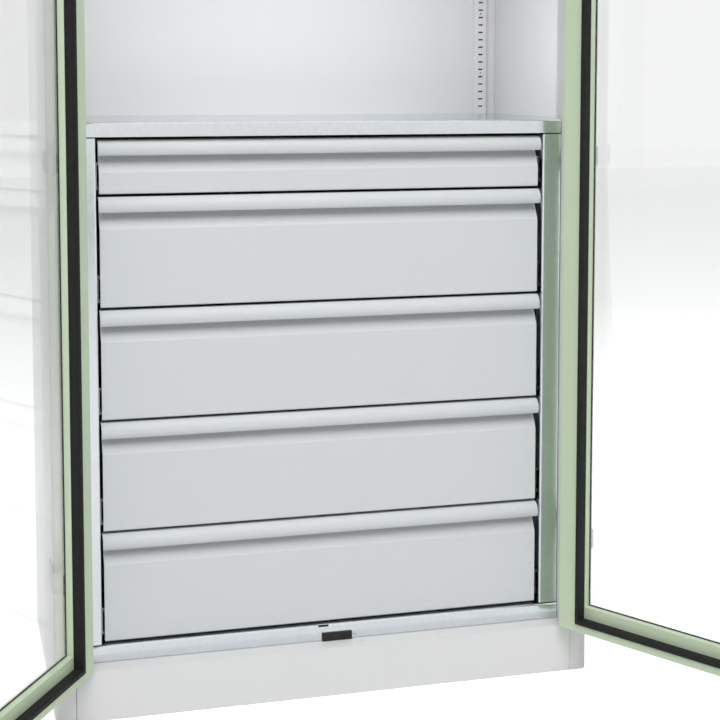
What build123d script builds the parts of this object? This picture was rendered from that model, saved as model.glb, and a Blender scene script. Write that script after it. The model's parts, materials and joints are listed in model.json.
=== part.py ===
from build123d import *
import os
from math import pi, radians, tan

os.makedirs("parts", exist_ok=True)

# Steel cupboard with two window doors, a block of five drawers below and shelf space above.
# Origin at the middle of the footprint on the floor, +Z up, the front faces -Y, millimetres.
# The doors are modelled shut and stand open at rest; the drawers are shut.

# Cabinet as a whole
cabinet_width = 1000.0
cabinet_depth = 550.0
cabinet_height = 1950.0
plinth_height = 90.0
roof_height = 40.0
frame_setback = 38.0
sheet = 1.5
bend = 3.0
slip = 0.3
overrun = 5.0
corner_radius = 16.0

# Carcass
jamb_width = 47.0
jamb_return = 30.0
foot_width = 36.0
foot_return = 30.0
rear_flange = 30.0
back_inset = 25.0
plinth_flange = 30.0
wall_bolt_spacing = 600.0
wall_bolt_drop = 150.0
wall_bolt_radius = 5.0

# Drawer block
post_width = 36.5
post_depth = 24.0
post_slit = 2.0
post_lip = 8.0
band_height = 26.0
band_gap = 2.5
cover_wing_setback = 34.0
sill_height = 30.5
sill_depth = 20.0
sill_gap = 1.0
notch_left = -20.0
notch_width = 19.0
notch_depth = 4.0
slide_wall_rear_gap = 13.0
slide_wall_flange = 24.0

# Drawers, from the top down
unit_pitch = 100.0
drawer_units = (1, 2, 2, 2, 2)
front_gap = 5.0
front_setback = 9.5
panel_side_gap = 6.0
handle_side_gap = 4.0
handle_height = 27.0
handle_bulge = 10.0
handle_curl = 3.0
handle_thickness = 2.0
handle_top_flat = 2.0
bulge_peak_share = 0.45
recess_depth = 15.0
recess_drop = 29.0
slope_drop = 28.0
front_hem = 15.0
box_rear_gap = 21.5
box_lift = 6.0
box_sheet = 1.2
weld_gap = 0.1
box_height_shares = (0.72, 0.86, 0.86, 0.86, 0.86)

# Telescopic slides
slide_space = 16.0
slide_sheet = 1.8
slide_height = 48.0
slide_lift = 7.0
slide_front_gap = 6.0
slide_rear_gap = 14.0
slide_web_gap = 1.0
fixed_slide_depth = 12.5
slide_overlap = 30.0

# Shelf space
rail_width = 30.0
rail_stand = 8.0
rail_corner_gap = 21.5
front_rail_setback = 75.0
slot_pitch = 16.0
slot_width = 10.0
slot_height = 3.0
rail_hole_radius = 1.5
rail_hole_every = 8
rail_foot = 8.0
rail_top_gap = 12.0
shelf_height_shares = (0.35, 0.7)
shelf_thickness = 30.0
shelf_side_gap = 4.0
shelf_front_setback = 72.0
shelf_rear_gap = 2.0
clip_reach = 20.0
clip_width = 16.0
clip_drop = 20.0
clip_sheet = 2.0
clip_tongue = 4.0

# Doors
door_depth = 33.5
door_sheet = 1.5
door_side_inset = 1.0
door_meeting_gap = 3.0
door_end_gap = 3.0
door_edge_radius = 10.0
door_fold_radius = 2.0
stile_flange = 38.4
meeting_flange = 66.0
end_flange = 13.0
liner_recess = 15.0
hinge_stile = 50.0
meeting_stile = 80.0
door_rail = 45.6
open_angle = 120.0

# Pane, gasket and seal
pane_thickness = 4.0
pane_recess = 0.6
pane_bite = 0.4
gasket_width = 1.0
seal_width = 8.6
seal_clearance = 0.4
seal_lip_width = 7.6
seal_gap = 0.2
seal_end_gap = 4.0

# Hinges
hinge_inset = 20.0
hinge_reach = 8.0
hinge_height = 70.0
hinge_height_shares = (0.1, 0.5, 0.9)
knuckle_radius = 7.0
knuckle_gap = 0.4
pin_radius = 4.0
pin_clearance = 0.08
strap_thickness = 3.0
strap_depth = 40.0
leaf_width = 28.0
leaf_thickness = 3.0
pin_shortfall = 3.0

# Rebate strip on the left door
strip_overlap = 14.0
strip_seat = 28.0
strip_thickness = 1.6
strip_clearance = 0.4
strip_end_inset = 40.0

# Lock in the right door
lock_z = 1000.0
rod_x = 54.0
rod_inset = 20.0
rod_radius = 4.5
rod_clearance = 0.1
rod_hole_radius = 6.0
gear_module = 1.5
gear_teeth = 17
tooth_share = 0.4
pressure_angle = 20.0
root_share = 1.25
gear_thickness = 6.0
rack_back = 4.0
rack_reach = 32.0
rack_teeth_ahead = 2
rack_teeth_behind = 6
rod_neck = 18.0
case_wall = 2.0
case_half_height = 45.0
case_half_width = 23.0
case_back_gap = 0.6
guide_half = 9.0
guide_height = 14.0
guide_height_shares = (0.25, 0.7)
spindle_radius = 5.0
spindle_clearance = 0.1
plate_half_width = 16.0
plate_half_height = 60.0
plate_thickness = 6.0
plate_edge_round = 2.0
plate_corner_round = 8.0
boss_radius = 13.0
boss_length = 16.0
lever_length = 110.0
lever_width = 16.0
lever_thickness = 12.0
lever_round = 4.0
handle_float = 0.4

# Door stop
stop_left = -13.0
stop_width = 56.0
stop_height = 15.0
stop_round = 1.5

# Places worked out from the sizes
half_width = cabinet_width / 2
y_front = -cabinet_depth / 2
y_rear = cabinet_depth / 2
y_frame = y_front + frame_setback
y_back = y_rear - back_inset
z_ledge = plinth_height
z_ceiling = cabinet_height - roof_height
x_wall = half_width - sheet
x_jamb = half_width - jamb_width
x_foot = half_width - foot_width
block_half_width = x_jamb - sheet
block_half_opening = block_half_width - post_width
y_slide_wall = y_frame + post_depth
z_sill = z_ledge + sill_height
stack_top = z_sill + sill_gap + unit_pitch * sum(drawer_units)
z_band = stack_top + band_gap
cover_top = z_band + band_height


def save(piece, name):
    piece.label = name
    export_step(piece, f"parts/{name}.step")


def block(low, high, mode=Mode.ADD):
    with Locations(low):
        Box(*(b - a for a, b in zip(low, high)), align=(Align.MIN, Align.MIN, Align.MIN), mode=mode)


def rod_along_y(x, z, y_low, y_high, radius, mode=Mode.ADD):
    with Locations(Location((x, y_low, z), (-90, 0, 0))):
        Cylinder(radius, y_high - y_low, align=(Align.CENTER, Align.CENTER, Align.MIN), mode=mode)


def rod_along_z(x, y, z_low, z_high, radius, mode=Mode.ADD):
    with Locations((x, y, z_low)):
        Cylinder(radius, z_high - z_low, align=(Align.CENTER, Align.CENTER, Align.MIN), mode=mode)


def folded(plane, points, thickness, radius, length):
    # A bent strip: its outer face follows the points, its thickness lies to their left.
    with BuildSketch(plane) as profile:
        with BuildLine():
            FilletPolyline(*points, radius=radius)
            offset(amount=thickness, side=Side.LEFT)
        make_face()
    extrude(profile.sketch, amount=length)


def ring(plane, outer, inner, length, mode=Mode.ADD):
    # A rectangular frame between two (low, high) boxes of the plane.
    with BuildSketch(plane) as outline:
        for (low, high), how in ((outer, Mode.ADD), (inner, Mode.SUBTRACT)):
            with Locations(((low[0] + high[0]) / 2, (low[1] + high[1]) / 2)):
                Rectangle(high[0] - low[0], high[1] - low[1], mode=how)
    extrude(outline.sketch, amount=length, mode=mode)


def upright(y):
    # A plane whose own axes are X and Z, with its normal towards the front.
    return Plane((0, y, 0), x_dir=(1, 0, 0), z_dir=(0, -1, 0))


def front_rounded(low, high):
    # Flat rectangle whose two front corners follow the cabinet's rounded edges.
    with BuildSketch(Plane.XY) as outline:
        with Locations(((low[0] + high[0]) / 2, (low[1] + high[1]) / 2)):
            Rectangle(high[0] - low[0], high[1] - low[1])
        fillet(outline.vertices().sort_by(Axis.Y)[:2], radius=corner_radius)
    return outline.sketch


# Plinth: a welded ring of channel, open towards the inside
plinth_half = x_foot - slip
plinth_rear = y_rear - sheet - slip
plinth_top = z_ledge - sheet
with BuildPart() as plinth:
    block((-plinth_half, y_front, 0), (plinth_half, plinth_rear, plinth_top))
    block(
        (-plinth_half + sheet, y_front + sheet, sheet),
        (plinth_half - sheet, plinth_rear - sheet, plinth_top - sheet),
        Mode.SUBTRACT,
    )
    block(
        (-plinth_half + plinth_flange, y_front + plinth_flange, -overrun),
        (plinth_half - plinth_flange, plinth_rear - plinth_flange, plinth_top + overrun),
        Mode.SUBTRACT,
    )
save(plinth.part, "plinth_frame")

# Floor panel: its front edge is the ledge under the doors, with the hole for the lower lock rod
floor_half = x_wall - slip
with BuildPart() as floor:
    with BuildSketch(Plane.XY.offset(plinth_top)):
        add(front_rounded((-half_width, y_front), (half_width, y_frame - slip)))
        with Locations((0, (y_front + corner_radius + plinth_rear) / 2)):
            Rectangle(2 * floor_half, plinth_rear - y_front - corner_radius)
        with Locations((rod_x, y_front + rod_inset)):
            Circle(rod_hole_radius, mode=Mode.SUBTRACT)
    extrude(amount=sheet)
save(floor.part, "floor_panel")

# Side wall: outer skin, front return that the door closes on, rear flange, and the foot beside the plinth
with BuildPart() as side_wall:
    folded(
        Plane.XY.offset(z_ledge),
        [
            (x_jamb, y_frame + jamb_return),
            (x_jamb, y_frame),
            (half_width, y_frame),
            (half_width, y_rear),
            (half_width - rear_flange, y_rear),
        ],
        sheet,
        bend,
        z_ceiling - z_ledge,
    )
    folded(
        Plane.XY,
        [
            (x_foot, y_front + foot_return),
            (x_foot, y_front),
            (half_width, y_front),
            (half_width, y_rear),
            (half_width - rear_flange, y_rear),
        ],
        sheet,
        (bend, corner_radius, bend),
        plinth_top,
    )
    block((x_wall, y_frame + bend, plinth_top), (half_width, y_rear - bend, z_ledge))
save(side_wall.part, "right_side_wall")
save(mirror(side_wall.part, about=Plane.YZ), "left_side_wall")

# Back wall: a pan open to the rear, with two holes to bolt it to a building wall
back_half = x_wall - slip
back_rear = y_rear - bend - slip
with BuildPart() as back_wall:
    block((-back_half, y_back, z_ledge), (back_half, back_rear, z_ceiling))
    block(
        (-back_half + sheet, y_back + sheet, z_ledge + sheet),
        (back_half - sheet, back_rear + overrun, z_ceiling - sheet),
        Mode.SUBTRACT,
    )
    z_bolt = z_ceiling - wall_bolt_drop
    for x in (-wall_bolt_spacing / 2, wall_bolt_spacing / 2):
        rod_along_y(x, z_bolt, y_back - overrun, y_back + overrun, wall_bolt_radius, Mode.SUBTRACT)
save(back_wall.part, "back_wall")

# Ceiling panel with the hole for the upper rod, and the roof cap over it
gear_radius = gear_module * gear_teeth / 2
spindle_x = rod_x - gear_radius
upper_rod_x = spindle_x - gear_radius
with BuildPart() as ceiling:
    with BuildSketch(Plane.XY.offset(z_ceiling)):
        add(front_rounded((-half_width, y_front), (half_width, y_rear)))
        with Locations((upper_rod_x, y_front + rod_inset)):
            Circle(rod_hole_radius, mode=Mode.SUBTRACT)
    extrude(amount=sheet)
save(ceiling.part, "ceiling_panel")

roof_base = z_ceiling + sheet
with BuildPart() as roof:
    with BuildSketch(Plane.XY.offset(roof_base)):
        add(front_rounded((-half_width, y_front), (half_width, y_rear)))
    extrude(amount=cabinet_height - roof_base)
    with BuildSketch(Plane.XY.offset(roof_base)):
        add(front_rounded((-half_width, y_front), (half_width, y_rear)))
        offset(amount=-sheet)
    extrude(amount=cabinet_height - roof_base - sheet, mode=Mode.SUBTRACT)
    fillet(roof.faces().sort_by(Axis.Z)[-1].edges(), radius=sheet)
save(roof.part, "roof_cap")

# Drawer block: cover plate with front band
cover_rear = y_back - slip
with BuildPart() as cover:
    folded(
        Plane((-block_half_width, 0, 0), x_dir=(0, 1, 0), z_dir=(1, 0, 0)),
        [(cover_rear, cover_top), (y_frame, cover_top), (y_frame, z_band)],
        sheet,
        bend,
        2 * block_half_width,
    )
    for side in (-1, 1):
        near, far = sorted((side * block_half_width, side * (x_wall - slip)))
        block((near, y_frame + cover_wing_setback, cover_top - sheet), (far, cover_rear, cover_top))
save(cover.part, "block_cover")

# Sill under the lowest drawer, with the small notch in its upper edge
with BuildPart() as sill:
    folded(
        Plane((-block_half_width, 0, 0), x_dir=(0, 1, 0), z_dir=(1, 0, 0)),
        [
            (y_frame + sill_depth, z_sill),
            (y_frame, z_sill),
            (y_frame, z_ledge),
            (y_frame + sill_depth, z_ledge),
        ],
        sheet,
        bend,
        2 * block_half_width,
    )
    block(
        (notch_left, y_frame - overrun, z_sill - notch_depth),
        (notch_left + notch_width, y_frame + bend, z_sill + overrun),
        Mode.SUBTRACT,
    )
save(sill.part, "block_sill")

# Posts beside the drawers
with BuildPart() as post:
    folded(
        Plane.XY.offset(z_sill + post_slit),
        [
            (block_half_opening, y_slide_wall),
            (block_half_opening, y_frame),
            (block_half_width, y_frame),
            (block_half_width, y_slide_wall),
            (block_half_width - post_lip, y_slide_wall),
        ],
        sheet,
        bend,
        z_band - z_sill - 2 * post_slit,
    )
save(post.part, "block_right_post")
save(mirror(post.part, about=Plane.YZ), "block_left_post")

# Slide walls, flanged outwards onto the floor and under the cover
slide_wall_top = cover_top - sheet
slide_wall_depth = y_back - y_slide_wall - slide_wall_rear_gap
with BuildPart() as slide_wall:
    folded(
        Plane((0, y_slide_wall, 0), x_dir=(1, 0, 0), z_dir=(0, 1, 0)),
        [
            (block_half_opening + slide_wall_flange, -z_ledge),
            (block_half_opening, -z_ledge),
            (block_half_opening, -slide_wall_top),
            (block_half_opening + slide_wall_flange, -slide_wall_top),
        ],
        sheet,
        bend,
        slide_wall_depth,
    )
save(slide_wall.part, "right_slide_wall")
save(mirror(slide_wall.part, about=Plane.YZ), "left_slide_wall")


# Telescopic slides: three channels of one length, nested with a running gap at their flanges
def channel(web_x, lip_x, z_low, z_high, y_low):
    # A straight channel along Y whose web lies at web_x and whose flanges reach to lip_x.
    inward = slide_sheet if lip_x > web_x else -slide_sheet
    near, far = sorted((web_x, lip_x))
    block((near, y_low, z_low), (far, y_low + slide_length, z_high))
    hollow_near, hollow_far = sorted((web_x + inward, lip_x + (overrun if inward > 0 else -overrun)))
    block(
        (hollow_near, y_low - overrun, z_low + slide_sheet),
        (hollow_far, y_low + slide_length + overrun, z_high - slide_sheet),
        Mode.SUBTRACT,
    )


def channel_pair(web_x, lip_x, z_low, z_high):
    with BuildPart() as one:
        channel(web_x, lip_x, z_low, z_high, y_slide_wall + slide_front_gap)
    with BuildPart() as pair:
        add(one.part)
        mirror(one.part, about=Plane.YZ)
    return pair.part


slide_length = slide_wall_depth - slide_front_gap - slide_rear_gap
drawer_travel = slide_length - slide_overlap
slide_nest = slide_sheet + slip
mid_web = block_half_opening - slide_sheet - slide_web_gap
runner_reach = mid_web - slide_sheet - slide_web_gap
box_half_width = block_half_opening - slide_space
mid_lip = box_half_width + slide_sheet + slide_web_gap

fixed_rails = []
front_y = y_frame + front_setback
box_front = front_y + recess_depth + sheet
box_rear = y_back - box_rear_gap
panel_half_width = block_half_opening - panel_side_gap
handle_half_width = block_half_opening - handle_side_gap
tops = [stack_top - unit_pitch * sum(drawer_units[:i]) for i in range(len(drawer_units))]
for number, (top, units, height_share) in enumerate(zip(tops, drawer_units, box_height_shares), start=1):
    z_top = top - front_gap / 2
    z_low = top - unit_pitch * units + front_gap / 2
    z_slide = z_low + slide_lift

    # Front: flat panel, slope and recess wall in one folded sheet, with the handle lip along its top
    along_x = Plane((-panel_half_width, 0, 0), x_dir=(0, 1, 0), z_dir=(1, 0, 0))
    along_handle = Plane((-handle_half_width, 0, 0), x_dir=(0, 1, 0), z_dir=(1, 0, 0))
    with BuildPart() as front:
        folded(
            along_x,
            [
                (front_y + recess_depth, z_top - handle_thickness / 2),
                (front_y + recess_depth, z_top - recess_drop),
                (front_y, z_top - recess_drop - slope_drop),
                (front_y, z_low),
                (front_y + front_hem, z_low),
            ],
            sheet,
            bend,
            2 * panel_half_width,
        )
        with BuildSketch(along_handle) as handle_profile:
            with BuildLine():
                Line((front_y + recess_depth + sheet, z_top), (front_y + handle_top_flat, z_top))
                ThreePointArc(
                    (front_y + handle_top_flat, z_top),
                    (front_y - handle_bulge, z_top - handle_height * bulge_peak_share),
                    (front_y - handle_bulge + handle_curl, z_top - handle_height),
                )
                offset(amount=handle_thickness, side=Side.LEFT)
            make_face()
        extrude(handle_profile.sketch, amount=2 * handle_half_width)
    save(front.part, f"drawer_{number}_front")

    # Box behind the front: a floor sheet, two side sheets, and a front and a rear sheet between them
    z_floor = z_low + box_lift
    z_wall = z_floor + box_sheet + weld_gap
    z_rim = z_floor + (z_top - z_low) * height_share
    box_inside = box_half_width - box_sheet
    with BuildPart() as tray:
        block((-box_half_width, box_front, z_floor), (box_half_width, box_rear, z_floor + box_sheet))
        for x in (-box_half_width, box_inside):
            block((x, box_front, z_wall), (x + box_sheet, box_rear, z_rim))
        for y in (box_front, box_rear - box_sheet):
            block((-box_inside + weld_gap, y, z_wall), (box_inside - weld_gap, y + box_sheet, z_rim))
    save(tray.part, f"drawer_{number}_box")

    runners = channel_pair(
        box_half_width, runner_reach, z_slide + 2 * slide_nest, z_slide + slide_height - 2 * slide_nest
    )
    save(runners, f"drawer_{number}_runners")
    mid_rails = channel_pair(mid_web, mid_lip, z_slide + slide_nest, z_slide + slide_height - slide_nest)
    save(mid_rails, f"drawer_{number}_mid_rails")
    fixed_lip = block_half_opening - fixed_slide_depth
    fixed_rails.append(channel_pair(block_half_opening, fixed_lip, z_slide, z_slide + slide_height))

with BuildPart() as rail_set:
    for pair in fixed_rails:
        add(pair)
save(rail_set.part, "fixed_rails")

# Slotted shelf rails: two on the back wall, two on the side walls behind the front returns
rail_low = cover_top
slot_count = int((z_ceiling - rail_top_gap - rail_low - 2 * rail_foot) / slot_pitch)
rail_span = 2 * rail_foot + slot_pitch * slot_count
shelf_seats = [round(share * slot_count) for share in shelf_height_shares]


def slot_z(index):
    return rail_low + rail_foot + slot_pitch * (index + 1 / 2)


with BuildPart() as rail:
    # Upright channel: web towards the cabinet's inside at local +Y, slots in a column
    folded(
        Plane.XY.offset(rail_low),
        [
            (rail_width / 2, 0),
            (rail_width / 2, rail_stand),
            (-rail_width / 2, rail_stand),
            (-rail_width / 2, 0),
        ],
        sheet,
        bend,
        rail_span,
    )
    with BuildSketch(Plane((0, rail_stand + overrun, 0), x_dir=(1, 0, 0), z_dir=(0, -1, 0))):
        with Locations([(0, slot_z(i)) for i in range(slot_count)]):
            Rectangle(slot_width, slot_height)
        holes = range(rail_hole_every // 2, slot_count, rail_hole_every)
        with Locations([(0, slot_z(i + 1 / 2)) for i in holes]):
            Circle(rail_hole_radius)
    extrude(amount=2 * overrun, mode=Mode.SUBTRACT)

rear_rail_x = x_wall - rail_corner_gap - rail_width / 2
front_rail_y = y_front + front_rail_setback + rail_width / 2
rail_places = [
    Location((-rear_rail_x, y_back, 0), (0, 0, 180)),
    Location((rear_rail_x, y_back, 0), (0, 0, 180)),
    Location((-x_wall, front_rail_y, 0), (0, 0, -90)),
    Location((x_wall, front_rail_y, 0), (0, 0, 90)),
]
with BuildPart() as shelf_rails:
    with Locations(rail_places):
        add(rail.part)
save(shelf_rails.part, "shelf_rails")

# Shelves hang on clips hooked into the slots
with BuildPart() as clip:
    for seat in shelf_seats:
        z_seat = slot_z(seat) + clip_sheet / 2
        block(
            (-clip_width / 2, rail_stand, z_seat - clip_sheet),
            (clip_width / 2, rail_stand + clip_reach, z_seat),
        )
        block(
            (-clip_width / 2, rail_stand, z_seat - clip_drop),
            (clip_width / 2, rail_stand + clip_sheet, z_seat),
        )
        block(
            (-slot_width / 2 + slip, rail_stand - clip_tongue, z_seat - clip_sheet),
            (slot_width / 2 - slip, rail_stand, z_seat),
        )
with BuildPart() as clips:
    with Locations(rail_places):
        add(clip.part)
save(clips.part, "shelf_clips")

shelf_half = x_wall - rail_stand - shelf_side_gap
shelf_front = y_front + shelf_front_setback
shelf_rear = y_back - rail_stand - shelf_rear_gap
for seat, name in zip(shelf_seats, ("lower_shelf", "upper_shelf")):
    z_seat = slot_z(seat) + clip_sheet / 2
    with BuildPart() as shelf:
        block((-shelf_half, shelf_front, z_seat), (shelf_half, shelf_rear, z_seat + shelf_thickness))
        block(
            (-shelf_half + sheet, shelf_front + sheet, z_seat - overrun),
            (shelf_half - sheet, shelf_rear - sheet, z_seat + shelf_thickness - sheet),
            Mode.SUBTRACT,
        )
    save(shelf.part, name)

# Door stop on the ledge, in front of the sill
with BuildPart() as door_stop:
    block(
        (stop_left, y_front + door_depth + strip_clearance, z_ledge),
        (stop_left + stop_width, y_frame, z_ledge + stop_height),
    )
    fillet(door_stop.edges().filter_by(Axis.X).group_by(Axis.Z)[-1].sort_by(Axis.Y)[:1], radius=stop_round)
save(door_stop.part, "door_stop")

# Doors: right-hand pieces modelled shut, then put on their side and swung open
hinge_x = half_width - hinge_inset
hinge_y = y_front - hinge_reach
door_low = door_meeting_gap / 2
door_high = half_width - door_side_inset
door_bottom = z_ledge + door_end_gap
door_top = z_ceiling - door_end_gap
door_height = door_top - door_bottom
y_inner = y_front + door_depth
window = (
    (door_low + meeting_stile, door_bottom + door_rail),
    (door_high - hinge_stile, door_top - door_rail),
)
mouth = (
    (door_low + meeting_flange, door_bottom + end_flange),
    (door_high - stile_flange, door_top - end_flange),
)
y_liner = y_inner - liner_recess
hinge_bases = [door_bottom + door_height * share - hinge_height / 2 for share in hinge_height_shares]


def hang(piece, side, name):
    placed = piece if side > 0 else mirror(piece, about=Plane.YZ)
    save(placed.rotate(Axis((side * hinge_x, hinge_y, 0), (0, 0, 1)), side * open_angle), name)


def grown(box, amount):
    (x0, z0), (x1, z1) = box
    return ((x0 - amount, z0 - amount), (x1 + amount, z1 + amount))


def cut(box, y_low, y_high):
    block((box[0][0], y_low, box[0][1]), (box[1][0], y_high, box[1][1]), Mode.SUBTRACT)


with BuildPart() as plain_shell:
    with BuildSketch(Plane.XY.offset(door_bottom)) as door_plan:
        with Locations(((door_low + door_high) / 2, (y_front + y_inner) / 2)):
            Rectangle(door_high - door_low, door_depth)
        fillet(door_plan.vertices().group_by(Axis.Y)[0].sort_by(Axis.X)[-1:], radius=door_edge_radius)
        fillet(door_plan.vertices().group_by(Axis.Y)[-1].sort_by(Axis.X)[-1:], radius=door_fold_radius)
    extrude(amount=door_height)
    with BuildSketch(Plane.XY.offset(door_bottom + door_sheet)) as pocket_plan:
        with Locations(((door_low + door_high) / 2, (y_front + y_inner) / 2)):
            Rectangle(door_high - door_low - 2 * door_sheet, door_depth - 2 * door_sheet)
        pocket_corner = pocket_plan.vertices().group_by(Axis.Y)[0].sort_by(Axis.X)[-1:]
        fillet(pocket_corner, radius=door_edge_radius - door_sheet)
        pocket_fold = pocket_plan.vertices().group_by(Axis.Y)[-1].sort_by(Axis.X)[-1:]
        fillet(pocket_fold, radius=door_fold_radius - door_sheet)
    extrude(amount=door_height - 2 * door_sheet, mode=Mode.SUBTRACT)
    cut(mouth, y_inner - door_sheet - overrun, y_inner + overrun)
    cut(window, y_front - overrun, y_inner + overrun)

rod_bore = rod_radius + rod_clearance
spindle_bore = spindle_radius + spindle_clearance
with BuildPart() as lock_shell:
    add(plain_shell.part)
    for x, z in ((rod_x, door_bottom), (upper_rod_x, door_top - door_sheet)):
        rod_along_z(x, y_front + rod_inset, z - overrun, z + overrun, rod_bore, Mode.SUBTRACT)
    rod_along_y(spindle_x, lock_z, y_front - overrun, y_front + overrun, spindle_bore, Mode.SUBTRACT)

# Liner: a shallow tray in the shell's mouth, folded in again around the window
tray = grown(mouth, -slip)
with BuildPart() as liner:
    ring(upright(y_inner), tray, grown(tray, -door_sheet), liner_recess)
    ring(upright(y_liner), tray, window, door_sheet)
    ring(upright(y_liner), grown(window, door_sheet), window, door_depth - liner_recess - door_sheet)

gasket_inner = grown(window, -gasket_width)
pane_edge = grown(window, -pane_bite)
y_pane = y_front + door_sheet + pane_recess
(pane_left, pane_bottom), (pane_right, pane_top) = pane_edge
with BuildPart() as pane:
    block((pane_left, y_pane, pane_bottom), (pane_right, y_pane + pane_thickness, pane_top))

with BuildPart() as gasket:
    ring(upright(y_pane + pane_thickness + pane_recess), window, gasket_inner, pane_thickness + 2 * pane_recess)
    cut(pane_edge, y_pane, y_pane + pane_thickness)

# Seal: a rubber profile in the tray along the hinge stile, the bottom and the top, with a narrower lip above it
seal_bed = grown(tray, -door_sheet - seal_gap)


def seal_run(x_start, inset, y_low, y_high):
    z_low, z_high = seal_bed[0][1] + inset, seal_bed[1][1] - inset
    x_end = seal_bed[1][0] - inset
    width = seal_width - 2 * inset
    block((x_start, y_low, z_low), (x_end, y_high, z_high))
    cut(((x_start - overrun, z_low + width), (x_end - width, z_high - width)), y_low, y_high)


with BuildPart() as seal_base:
    seal_run(seal_bed[0][0], 0, y_liner, y_inner)
with BuildPart() as seal_lip:
    lip_inset = (seal_width - seal_lip_width) / 2
    seal_run(door_low + seal_end_gap, lip_inset, y_inner, y_frame - seal_clearance)
with BuildPart() as seal:
    add(seal_base.part)
    add(seal_lip.part)

# Hinge halves: the bracket on the side wall carries the pin, the knuckle on the door turns on it
strap_front = hinge_y - knuckle_radius
strap_outer = half_width + strap_thickness
with BuildPart() as brackets:
    for z in hinge_bases:
        z_split = z + hinge_height / 2
        block((half_width, strap_front, z), (strap_outer, y_frame + strap_depth, z_split))
        block((hinge_x, strap_front, z), (strap_outer, strap_front + strap_thickness, z_split))
        rod_along_z(hinge_x, hinge_y, z, z_split, knuckle_radius)
        rod_along_z(hinge_x, hinge_y, z_split, z + hinge_height - pin_shortfall, pin_radius)
with BuildPart() as all_brackets:
    add(brackets.part)
    mirror(brackets.part, about=Plane.YZ)
save(all_brackets.part, "hinge_brackets")

pin_bore = pin_radius + pin_clearance
with BuildPart() as knuckles:
    for z in hinge_bases:
        z_split = z + hinge_height / 2 + knuckle_gap
        z_end = z + hinge_height
        rod_along_z(hinge_x, hinge_y, z_split, z_end, knuckle_radius)
        block((hinge_x - leaf_width, y_front - leaf_thickness, z_split), (hinge_x, y_front, z_end))
        rod_along_z(hinge_x, hinge_y, z_split - overrun, z_end + overrun, pin_bore, Mode.SUBTRACT)

# Rebate strip: stands on the left door's inner face and reaches behind the right door's edge
with BuildPart() as strip:
    z_strip = (door_bottom + strip_end_inset, door_top - strip_end_inset)
    y_strip = y_inner + strip_clearance
    block((-strip_overlap, y_strip, z_strip[0]), (strip_seat, y_strip + strip_thickness, z_strip[1]))
    block((door_low, y_inner, z_strip[0]), (strip_seat, y_strip, z_strip[1]))

for side, hand in ((-1, "left"), (1, "right")):
    hang(lock_shell.part if side > 0 else plain_shell.part, side, f"{hand}_door_shell")
    hang(liner.part, side, f"{hand}_door_liner")
    hang(pane.part, side, f"{hand}_door_pane")
    hang(gasket.part, side, f"{hand}_door_gasket")
    hang(seal.part, side, f"{hand}_door_seal")
    hang(knuckles.part, side, f"{hand}_door_knuckles")
hang(strip.part, -1, "left_door_rebate_strip")

# Lock: a pinion on the handle's spindle drives two racks, one rod up and one rod down
tooth_pitch = pi * gear_module
tooth_half = tooth_pitch * tooth_share / 2
flank = tan(radians(pressure_angle))
addendum = gear_module
dedendum = gear_module * root_share
y_rod = y_front + rod_inset


def tooth_points(reach_low, reach_high):
    # One straight-sided tooth about the pitch line: (along the pitch, away from the root)
    low_half = tooth_half - reach_low * flank
    high_half = tooth_half - reach_high * flank
    low_side = [(-low_half, reach_low), (-high_half, reach_high)]
    return low_side + [(high_half, reach_high), (low_half, reach_low)]


with BuildPart() as pinion:
    with BuildSketch(upright(y_rod + gear_thickness / 2)):
        with Locations((spindle_x, lock_z)):
            Circle(gear_radius - dedendum)
            with PolarLocations(gear_radius, gear_teeth):
                Polygon(*[(away, along) for along, away in tooth_points(-dedendum, addendum)], align=None)
                with Locations((-dedendum - gear_module / 2, 0)):
                    Rectangle(gear_module, 2 * tooth_half)
    extrude(amount=gear_thickness)
    rod_along_y(spindle_x, lock_z, y_front - plate_thickness - boss_length, y_rod, spindle_radius)
hang(pinion.part, 1, "lock_pinion")


def lock_rod(x, away, turn, z_tip, phase_share):
    # A round rod with a rack at its inner end: away is the side of the pinion, turn the way it travels.
    z_neck = lock_z + turn * rod_neck
    rack_ends = sorted((lock_z + turn * rod_neck, lock_z - turn * rack_reach))
    rack_root = x + away * dedendum
    back_near, back_far = sorted((rack_root, rack_root + away * rack_back))
    y_rack = y_rod + gear_thickness / 2
    with BuildPart() as rod:
        rod_along_z(x, y_rod, min(z_neck, z_tip), max(z_neck, z_tip), rod_radius)
        block((back_near, y_rack - gear_thickness, rack_ends[0]), (back_far, y_rack, rack_ends[1]))
        with BuildSketch(upright(y_rack)):
            for i in range(-rack_teeth_ahead, rack_teeth_behind):
                z = lock_z - turn * tooth_pitch * (i + phase_share)
                points = [(x - away * up, z + along) for along, up in tooth_points(-dedendum, addendum)]
                Polygon(*points, align=None)
        extrude(amount=gear_thickness)
    return rod.part


# A tooth of the pinion faces the lower rack and, with their odd number, a gap faces the upper one
lower_rod = lock_rod(rod_x, 1, -1, door_bottom + door_sheet / 2, 1 / 2)
upper_rod = lock_rod(upper_rod_x, -1, 1, door_top - door_sheet / 2, 0)
hang(lower_rod, 1, "lock_lower_rod")
hang(upper_rod, 1, "lock_upper_rod")

case_low = (spindle_x - case_half_width, y_front + door_sheet, lock_z - case_half_height)
case_high = (spindle_x + case_half_width, y_inner - door_sheet - case_back_gap, lock_z + case_half_height)
with BuildPart() as lock_case:
    block(case_low, case_high)
    block(
        tuple(v + case_wall for v in case_low), tuple(v - case_wall / 2 for v in case_high), Mode.SUBTRACT
    )
    rod_along_y(spindle_x, lock_z, y_front, y_front + overrun, spindle_bore, Mode.SUBTRACT)
    for x, z in ((rod_x, case_low[2]), (upper_rod_x, case_high[2])):
        rod_along_z(x, y_rod, z - overrun, z + overrun, rod_bore, Mode.SUBTRACT)
hang(lock_case.part, 1, "lock_case")

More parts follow.
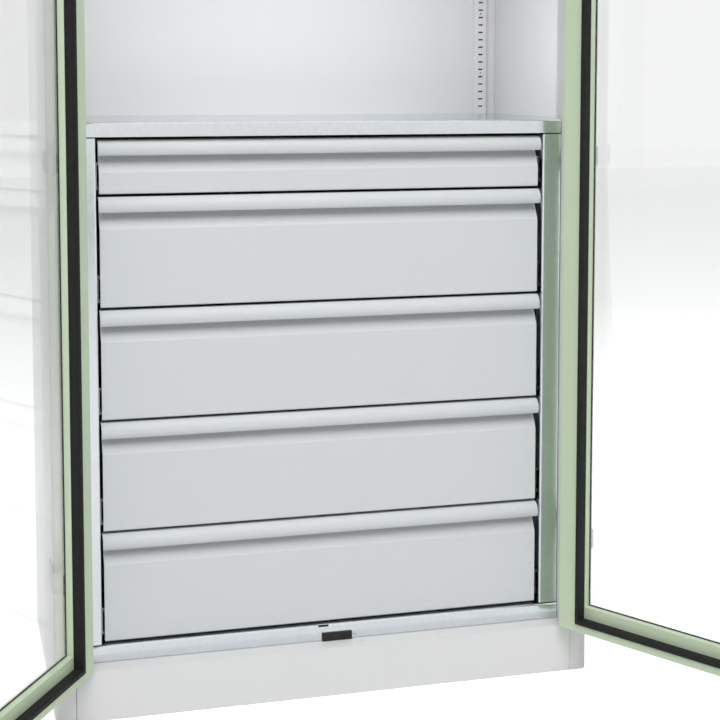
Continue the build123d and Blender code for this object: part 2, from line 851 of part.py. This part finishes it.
with BuildPart() as guides:
    runs = ((rod_x, door_bottom, case_low[2]), (upper_rod_x, case_high[2], door_top))
    for x, z_start, z_end in runs:
        for share in guide_height_shares:
            z = z_start + (z_end - z_start) * share
            block((x - guide_half, y_front + door_sheet, z), (x + guide_half, y_rod, z + guide_height))
            rod_along_z(x, y_rod, z, z + guide_height, guide_half)
            rod_along_z(x, y_rod, z - overrun, z + guide_height + overrun, rod_bore, Mode.SUBTRACT)
    block(
        (door_low, y_inner - door_sheet, door_bottom),
        (door_high, y_inner + guide_half, door_top),
        Mode.SUBTRACT,
    )
hang(guides.part, 1, "lock_rod_guides")

y_plate = y_front - plate_thickness
with BuildPart() as escutcheon:
    block(
        (spindle_x - plate_half_width, y_plate, lock_z - plate_half_height),
        (spindle_x + plate_half_width, y_front, lock_z + plate_half_height),
    )
    fillet(escutcheon.edges().filter_by(Axis.Y), radius=plate_corner_round)
    fillet(escutcheon.faces().sort_by(Axis.Y)[0].edges(), radius=plate_edge_round)
    rod_along_y(spindle_x, lock_z, y_plate - overrun, y_front + overrun, spindle_bore, Mode.SUBTRACT)
hang(escutcheon.part, 1, "lock_escutcheon")

y_boss = y_plate - handle_float
y_boss_front = y_front - plate_thickness - boss_length
with BuildPart() as handle:
    rod_along_y(spindle_x, lock_z, y_boss_front, y_boss, boss_radius)
    with BuildSketch(upright(y_boss_front + lever_thickness)) as lever:
        with Locations((spindle_x + lever_length / 2, lock_z)):
            SlotCenterToCenter(lever_length, lever_width)
    extrude(lever.sketch, amount=lever_thickness)
    fillet(handle.faces().sort_by(Axis.Y)[0].edges(), radius=lever_round)
    rod_along_y(spindle_x, lock_z, y_boss_front, y_boss + overrun, spindle_radius, Mode.SUBTRACT)
hang(handle.part, 1, "lock_handle")

print("lock rod travel for a quarter turn", gear_radius * pi / 2)
print("hinge axis", hinge_x, hinge_y, "spindle", spindle_x, lock_z, "drawer travel", drawer_travel)
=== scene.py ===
import json
import math

import bpy
import bmesh
from mathutils import Matrix, Vector


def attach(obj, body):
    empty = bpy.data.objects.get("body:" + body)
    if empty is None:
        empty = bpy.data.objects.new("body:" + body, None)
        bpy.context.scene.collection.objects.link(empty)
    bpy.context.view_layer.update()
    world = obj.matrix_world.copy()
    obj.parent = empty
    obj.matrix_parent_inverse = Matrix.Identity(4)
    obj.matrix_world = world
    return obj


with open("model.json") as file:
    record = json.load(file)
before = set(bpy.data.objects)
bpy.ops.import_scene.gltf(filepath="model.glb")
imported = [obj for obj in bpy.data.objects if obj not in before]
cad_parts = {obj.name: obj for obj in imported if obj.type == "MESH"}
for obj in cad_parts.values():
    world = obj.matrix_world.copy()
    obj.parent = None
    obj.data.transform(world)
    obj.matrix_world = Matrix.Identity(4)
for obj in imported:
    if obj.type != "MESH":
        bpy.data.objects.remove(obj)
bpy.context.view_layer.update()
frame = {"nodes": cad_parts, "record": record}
nodes = frame["nodes"]
subparts = frame["record"]["subparts"]
print("frame loaded:", len(nodes), "nodes")


def paint(red, green, blue):  # a colour as a paint chart gives it, 0 to 255
    def straight(value):  # undoes the sRGB curve
        share = value / 255
        return share / 12.92 if share <= 0.04045 else ((share + 0.055) / 1.055) ** 2.4
    return (straight(red), straight(green), straight(blue), 1.0)


# Node helpers shared by the finishes

noise = {"roughness": 0.55, "span": (0.3, 0.7)}  # nearly all values of a noise lie in the span
mixSockets = {"amount": 0, "first": 6, "second": 7, "result": 2}  # a Mix node's sockets for colours
white = (1, 1, 1, 1)


def newFinish(name):
    finish = bpy.data.materials.new(name)
    finish.use_nodes = True
    tree = finish.node_tree
    return finish, tree, tree.nodes["Principled BSDF"]


def addNode(tree, kind, values=None, links=None):
    node = tree.nodes.new(kind)
    for socket, value in (values or {}).items():
        node.inputs[socket].default_value = value
    for socket, source in (links or {}).items():
        tree.links.new(source, node.inputs[socket])
    return node


def surfacePoint(tree, stretch=(1, 1, 1)):
    where = addNode(tree, "ShaderNodeTexCoord").outputs["Object"]
    mapping = addNode(tree, "ShaderNodeMapping", {"Scale": stretch}, {"Vector": where})
    return mapping.outputs["Vector"]


def grain(tree, point, perMetre, detail=3.0):
    values = {"Scale": perMetre, "Detail": detail, "Roughness": noise["roughness"]}
    return addNode(tree, "ShaderNodeTexNoise", values, {"Vector": point}).outputs["Fac"]


def between(tree, amount, low, high):
    least, most = noise["span"]
    values = {"From Min": least, "From Max": most, "To Min": low, "To Max": high}
    return addNode(tree, "ShaderNodeMapRange", values, {"Value": amount}).outputs["Result"]


def twoColours(tree, amount, first, second):
    mix = tree.nodes.new("ShaderNodeMix")
    mix.data_type = "RGBA"
    tree.links.new(amount, mix.inputs[mixSockets["amount"]])
    mix.inputs[mixSockets["first"]].default_value = first
    mix.inputs[mixSockets["second"]].default_value = second
    return mix.outputs[mixSockets["result"]]


def dress(tree, shader, settings, toneBy, roughBy):  # colour and roughness, each led by its own pattern
    colour = twoColours(tree, toneBy, settings["shade"], settings["colour"])
    tree.links.new(colour, shader.inputs["Base Color"])
    roughness = between(tree, roughBy, *settings["roughness"])
    tree.links.new(roughness, shader.inputs["Roughness"])


def emboss(tree, shader, height, strength, depth):
    values = {"Strength": strength, "Distance": depth}
    bump = addNode(tree, "ShaderNodeBump", values, {"Height": height})
    tree.links.new(bump.outputs["Normal"], shader.inputs["Normal"])


# Powder coat: an even colour with faint drifts and the fine peel of a sprayed and baked coat

coat = {"driftPerMetre": 2.4, "peelPerMetre": 700.0, "peelDetail": 2.0, "peelStrength": 0.12,
        "peelDepth": 0.00012, "roughness": (0.36, 0.46), "gloss": 0.5}
bodyCoat = dict(coat, colour=paint(228, 228, 229), shade=paint(225, 225, 226))
doorCoat = dict(coat, colour=paint(203, 219, 190), shade=paint(199, 216, 186))
drawerCoat = dict(coat, colour=paint(215, 218, 220), shade=paint(212, 215, 218), roughness=(0.32, 0.42))


def powderCoat(name, settings):
    finish, tree, shader = newFinish(name)
    point = surfacePoint(tree)
    drift = grain(tree, point, settings["driftPerMetre"])
    peel = grain(tree, point, settings["peelPerMetre"], settings["peelDetail"])
    dress(tree, shader, settings, drift, peel)
    emboss(tree, shader, peel, settings["peelStrength"], settings["peelDepth"])
    shader.inputs["Specular IOR Level"].default_value = settings["gloss"]
    return finish


# Galvanised sheet: bright zinc with flat spangles of slightly different tone and gloss, and faint unevenness

galvanised = {"colour": paint(228, 233, 237), "shade": paint(223, 228, 233), "spanglePerMetre": 140.0,
              "roughness": (0.17, 0.19), "rollingStretch": (30, 30, 30), "rollingPerMetre": 9.0,
              "rollingStrength": 0.02, "rollingDepth": 0.0004}


def galvanisedFinish():
    finish, tree, shader = newFinish("galvanisedSheet")
    cells = {"Scale": galvanised["spanglePerMetre"]}
    spangle = addNode(tree, "ShaderNodeTexVoronoi", cells, {"Vector": surfacePoint(tree)})
    split = addNode(tree, "ShaderNodeSeparateColor", links={"Color": spangle.outputs["Color"]})
    tone = split.outputs["Red"]
    dress(tree, shader, galvanised, tone, tone)
    rolling = grain(tree, surfacePoint(tree, galvanised["rollingStretch"]), galvanised["rollingPerMetre"])
    emboss(tree, shader, rolling, galvanised["rollingStrength"], galvanised["rollingDepth"])
    shader.inputs["Metallic"].default_value = 1.0
    return finish


# Zinc plated steel of the slides, hinges and lock works

zincPlate = {"colour": paint(205, 208, 210), "shade": paint(184, 187, 188), "drawPerMetre": 14.0,
             "drawDetail": 5.0, "drawStretch": (1, 40, 40), "drawStrength": 0.08, "drawDepth": 0.0002,
             "roughness": (0.28, 0.42)}


def zincFinish():
    finish, tree, shader = newFinish("zincPlate")
    point = surfacePoint(tree, zincPlate["drawStretch"])
    drawn = grain(tree, point, zincPlate["drawPerMetre"], zincPlate["drawDetail"])
    dress(tree, shader, zincPlate, drawn, drawn)
    emboss(tree, shader, drawn, zincPlate["drawStrength"], zincPlate["drawDepth"])
    shader.inputs["Metallic"].default_value = 1.0
    return finish


# Black rubber profile and black moulded plastic

rubber = {"colour": paint(36, 36, 37), "shade": paint(28, 28, 29), "grainPerMetre": 900.0,
          "grainDetail": 2.0, "grainStrength": 0.2, "grainDepth": 0.0002, "roughness": (0.6, 0.75),
          "gloss": 0.25}
moulding = {"colour": paint(42, 41, 40), "shade": paint(35, 34, 34), "grainPerMetre": 1400.0,
            "grainDetail": 2.0, "grainStrength": 0.25, "grainDepth": 0.0002, "roughness": (0.45, 0.56),
            "gloss": 0.3}


def blackFinish(name, settings):
    finish, tree, shader = newFinish(name)
    speck = grain(tree, surfacePoint(tree), settings["grainPerMetre"], settings["grainDetail"])
    dress(tree, shader, settings, speck, speck)
    emboss(tree, shader, speck, settings["grainStrength"], settings["grainDepth"])
    shader.inputs["Specular IOR Level"].default_value = settings["gloss"]
    return finish


# Clear acrylic pane

acrylic = {"colour": paint(221, 226, 223), "ior": 1.49, "hazePerMetre": 3.0, "haze": (0.02, 0.05),
           "cover": 0.35, "gloss": 0.15}


def acrylicFinish():
    finish, tree, shader = newFinish("clearAcrylic")
    haze = grain(tree, surfacePoint(tree), acrylic["hazePerMetre"])
    tree.links.new(between(tree, haze, *acrylic["haze"]), shader.inputs["Roughness"])
    shader.inputs["Base Color"].default_value = acrylic["colour"]
    shader.inputs["IOR"].default_value = acrylic["ior"]
    shader.inputs["Transmission Weight"].default_value = 1.0
    shader.inputs["Alpha"].default_value = acrylic["cover"]
    shader.inputs["Specular IOR Level"].default_value = acrylic["gloss"]
    return finish


finishes = {
    "body_paint": powderCoat("bodyPaint", bodyCoat),
    "door_paint": powderCoat("doorPaint", doorCoat),
    "drawer_paint": powderCoat("drawerPaint", drawerCoat),
    "galvanised_sheet": galvanisedFinish(),
    "zinc_steel": zincFinish(),
    "clear_pane": acrylicFinish(),
    "black_rubber": blackFinish("blackRubber", rubber),
    "black_plastic": blackFinish("blackMoulding", moulding),
}
for row in subparts:
    mesh = nodes[row["node"]].data
    mesh.materials.clear()
    mesh.materials.append(finishes[row["material_slot"]])
print("finishes on", len(subparts), "nodes")


# Broken edges: sheet and mouldings have no knife edges, so every node gets a small round on them

edgeRounds = {"body_paint": 0.0005, "door_paint": 0.0005, "drawer_paint": 0.0005, "galvanised_sheet": 0.0004,
              "zinc_steel": 0.0003, "clear_pane": 0.0003, "black_rubber": 0.0012, "black_plastic": 0.0008}
rounding = {"segments": 2, "sharperThan": 40.0, "weldWithin": 0.00001}


def breakEdges(piece, radius):
    edge = piece.modifiers.new("brokenEdges", "BEVEL")
    edge.width = radius
    edge.segments = rounding["segments"]
    edge.limit_method = "ANGLE"
    edge.angle_limit = math.radians(rounding["sharperThan"])


for row in subparts:
    node = nodes[row["node"]]
    weld = node.modifiers.new("weldedFaces", "WELD")
    weld.merge_threshold = rounding["weldWithin"]
    breakEdges(node, edgeRounds[row["material_slot"]])
print("edges broken")


# Pieces that only the scene has

def addObject(name, data):
    item = bpy.data.objects.new(name, data)
    bpy.context.scene.collection.objects.link(item)
    return item


def addPiece(name, body, slot, mesh, edgeRound=0.0):
    data = bpy.data.meshes.new(name)
    mesh.to_mesh(data)
    mesh.free()
    data.materials.append(finishes[slot])
    piece = addObject(name, data)
    if edgeRound:
        breakEdges(piece, edgeRound)
    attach(piece, body)


def facing(point, turn, axis):
    return Matrix.Translation(point) @ Matrix.Rotation(math.radians(turn), 4, axis)


# Screws of the hinges and the key cylinder of the lock: low domed heads with a sunk drive

hinge = {"axis": (0.48, -0.283), "open": 120.0, "bases": (0.2394, 0.965, 1.6906),
         "leafFace": -0.278, "leafIn": 0.0175, "leafHeights": (0.044, 0.0615),
         "strapFace": 0.503, "strapMiddle": 0.0175, "strapPlaces": (-0.228, -0.208)}
dome = ((1.0, 0.0), (1.0, 0.4), (0.9, 0.8), (0.72, 1.0))  # shares of a head's radius and height
screw = {"radius": 0.0042, "height": 0.0013, "slotRadius": 0.0023, "slotHalf": 0.00045, "slotDepth": 0.0009,
         "crossed": True, "round": 0.00015}
cylinder = {"radius": 0.0078, "height": 0.0016, "slotRadius": 0.0042, "slotHalf": 0.0007, "slotDepth": 0.0013,
            "crossed": False, "round": 0.0003, "at": (0.04125, -0.297, 1.0)}


def addHead(mesh, place, head):
    half, rise = head["slotHalf"], head["height"]
    quarter = math.pi / 2
    corner = math.asin(half / head["slotRadius"])
    steps = (corner, quarter / 2, quarter - corner)  # both sides of an arm of the drive, and between two arms
    turns = [start * quarter + step for start in range(4) for step in steps]
    profile = [(far * head["radius"], up * rise) for far, up in dome] + [(head["slotRadius"], rise)]

    def point(x, y, z):
        return mesh.verts.new(place @ Vector((x, y, z)))

    rings = [[point(far * math.cos(turn), far * math.sin(turn), up) for turn in turns] for far, up in profile]
    mesh.faces.new(rings[0][::-1])
    for lower, upper in zip(rings, rings[1:]):
        for i in range(len(turns)):
            mesh.faces.new((lower[i - 1], lower[i], upper[i], upper[i - 1]))
    top = rings[-1]
    inner = [point(half * x, half * y, rise) for x, y in ((1, 1), (-1, 1), (-1, -1), (1, -1))]
    for i in range(4):  # the top between the arms
        mesh.faces.new((inner[i], top[3 * i], top[3 * i + 1], top[3 * i + 2]))
    arms = [mesh.faces.new((inner[i - 1], top[3 * i - 1], top[3 * i], inner[i])) for i in range(4)]
    sunk = [mesh.faces.new(inner)] + (arms if head["crossed"] else arms[::2])
    moved = bmesh.ops.extrude_face_region(mesh, geom=sunk)["geom"]
    lowered = [item for item in moved if isinstance(item, bmesh.types.BMVert)]
    down = place.to_3x3() @ Vector((0, 0, -head["slotDepth"]))
    bmesh.ops.translate(mesh, verts=lowered, vec=down)
    bmesh.ops.delete(mesh, geom=[face for face in sunk if face.is_valid], context="FACES_ONLY")


def addHeads(name, body, places, head):
    mesh = bmesh.new()
    for place in places:
        addHead(mesh, place, head)
    addPiece(name, body, "zinc_steel", mesh, head["round"])


def swung(side):  # from the shut door to the open one
    axis = Matrix.Translation((side * hinge["axis"][0], hinge["axis"][1], 0))
    return axis @ Matrix.Rotation(math.radians(side * hinge["open"]), 4, "Z") @ axis.inverted()


strapHeads = []
for side, hand in ((-1, "left"), (1, "right")):
    leafX = side * (hinge["axis"][0] - hinge["leafIn"])
    leafHeads = [swung(side) @ facing((leafX, hinge["leafFace"], base + height), 90, "X")
                 for base in hinge["bases"] for height in hinge["leafHeights"]]
    addHeads(hand + "LeafScrews", hand + "_door", leafHeads, screw)
    strapHeads += [facing((side * hinge["strapFace"], y, base + hinge["strapMiddle"]), side * 90, "Y")
                   for base in hinge["bases"] for y in hinge["strapPlaces"]]
addHeads("strapScrews", "cabinet", strapHeads, screw)
addHeads("keyCylinder", "lock_handle", [swung(1) @ facing(cylinder["at"], 90, "X")], cylinder)
print("screws and key cylinder set")


# Painted shade: a black sheet inside each slotted shelf rail stands in for the shade in the hollow of the real
# rails, so the slots read dark

slotShade = {"half": 0.0115, "thick": 0.0012, "chamfer": 0.0005, "lift": 0.0004, "low": 1.054, "high": 1.894,
           "rearRail": (0.462, 0.25), "frontRail": (0.4985, -0.185)}


def addSlotShade():
    half, chamfer, near = slotShade["half"], slotShade["chamfer"], slotShade["lift"]
    far = near + slotShade["thick"]
    profile = ((-half, near), (half, near), (half, far - chamfer), (half - chamfer, far),
               (chamfer - half, far), (-half, far - chamfer))
    places = []
    for side in (-1, 1):
        for (x, y), turn in ((slotShade["rearRail"], 180), (slotShade["frontRail"], side * 90)):
            places.append(facing((side * x, y, 0), turn, "Z"))
    mesh = bmesh.new()
    for place in places:
        low, high = ([mesh.verts.new(place @ Vector((x, y, slotShade[end]))) for x, y in profile]
                     for end in ("low", "high"))
        mesh.faces.new(low[::-1])
        mesh.faces.new(high)
        for i in range(len(profile)):
            mesh.faces.new((low[i - 1], low[i], high[i], high[i - 1]))
    # the black sheet is painted shade, put where the real rails have only shadow inside
    addPiece("railSlotShade", "cabinet", "black_plastic", mesh)


addSlotShade()
print("rail backing set")


# Floor and backdrop

stage = {"floorSize": 30.0, "floorColour": paint(244, 244, 244), "floorGlow": 0.55, "floorGrainPerMetre": 40.0,
         "floorRoughness": (0.75, 0.85), "backdropLight": 0.31}


def seenRay(tree, *others):  # 1 where the eye looks, straight or by one of the other kinds of ray
    path = addNode(tree, "ShaderNodeLightPath")
    seen = path.outputs["Is Camera Ray"]
    for ray in others:
        either = addNode(tree, "ShaderNodeMath", links={0: seen, 1: path.outputs[ray]})
        either.operation = "MAXIMUM"
        seen = either.outputs["Value"]
    return seen


def layFloor():
    mesh = bpy.data.meshes.new("studioFloor")
    half = stage["floorSize"] / 2
    corners = [(-half, -half, 0), (half, -half, 0), (half, half, 0), (-half, half, 0)]
    mesh.from_pydata(corners, [], [(0, 1, 2, 3)])
    floor = addObject("studioFloor", mesh)
    finish, tree, shader = newFinish("studioFloor")
    speck = grain(tree, surfacePoint(tree), stage["floorGrainPerMetre"])
    tree.links.new(between(tree, speck, *stage["floorRoughness"]), shader.inputs["Roughness"])
    shader.inputs["Base Color"].default_value = stage["floorColour"]
    values = {"From Max": 1.0, "To Max": stage["floorGlow"]}
    seen = seenRay(tree, "Is Transmission Ray")
    glow = addNode(tree, "ShaderNodeMapRange", values, {"Value": seen}).outputs["Result"]
    shader.inputs["Emission Color"].default_value = white
    tree.links.new(glow, shader.inputs["Emission Strength"])
    mesh.materials.append(finish)


def hangBackdrop():
    world = bpy.data.worlds.new("studio")
    bpy.context.scene.world = world
    world.use_nodes = True
    tree = world.node_tree
    sky = tree.nodes["Background"]
    sky.inputs["Color"].default_value = white
    values = {"From Max": 1.0, "To Min": stage["backdropLight"], "To Max": 1.0}
    seen = seenRay(tree, "Is Glossy Ray", "Is Transmission Ray")
    level = addNode(tree, "ShaderNodeMapRange", values, {"Value": seen}).outputs["Result"]
    tree.links.new(level, sky.inputs["Strength"])


# A large key light in front, a weak lamp in each shelf space, and two from the sides behind

lamps = {
    "keyLight": {"at": (-0.5, -4.3, 6.2), "aim": (0, -0.2, 0.5), "size": (5.0, 5.0), "power": 360.0},
    "shelfLight": {"at": (0, -0.215, 1.21), "aim": (0, 0.25, 1.2), "size": (0.8, 0.2), "power": 1.7},
    "middleLight": {"at": (0, -0.215, 1.515), "aim": (0, 0.25, 1.505), "size": (0.8, 0.14), "power": 0.3},
    "topLight": {"at": (0, -0.215, 1.79), "aim": (0, 0.25, 1.78), "size": (0.8, 0.14), "power": 0.3},
    "leftLight": {"at": (-3.4, 1.6, 2.0), "aim": (0, 0, 1.0), "size": (2.4, 2.4), "power": 60.0},
    "rightLight": {"at": (3.4, 1.6, 2.0), "aim": (0, 0, 1.0), "size": (2.4, 2.4), "power": 60.0},
}


def setLamp(name, settings):
    light = bpy.data.lights.new(name, "AREA")
    light.shape = "RECTANGLE"
    light.size, light.size_y = settings["size"]
    light.energy = settings["power"]
    lamp = addObject(name, light)
    lamp.location = settings["at"]
    aim = Vector(settings["aim"]) - lamp.location
    lamp.rotation_euler = aim.to_track_quat("-Z", "Y").to_euler()
    lamp.visible_camera = lamp.visible_transmission = False
    lamp.visible_glossy = False  # sheet metal and panes mirror the plain backdrop, not the lamp


cameraSettings = {"at": (-0.6686, -2.9029, 1.1232), "turn": -15.276, "tilt": 4.5, "lens": 76.26,
                  "sensor": 36.0, "shiftY": -0.2224}


def setCamera():
    view = bpy.data.cameras.new("studioCamera")
    view.lens = cameraSettings["lens"]
    view.sensor_width = cameraSettings["sensor"]
    view.shift_y = cameraSettings["shiftY"]
    camera = addObject("studioCamera", view)
    camera.location = cameraSettings["at"]
    level = math.radians(90 - cameraSettings["tilt"])
    camera.rotation_euler = (level, 0, math.radians(cameraSettings["turn"]))
    bpy.context.scene.camera = camera


layFloor()
hangBackdrop()
for name, settings in lamps.items():
    setLamp(name, settings)
setCamera()
bpy.context.scene.view_settings.view_transform = "Standard"
print("stage, light and camera set")
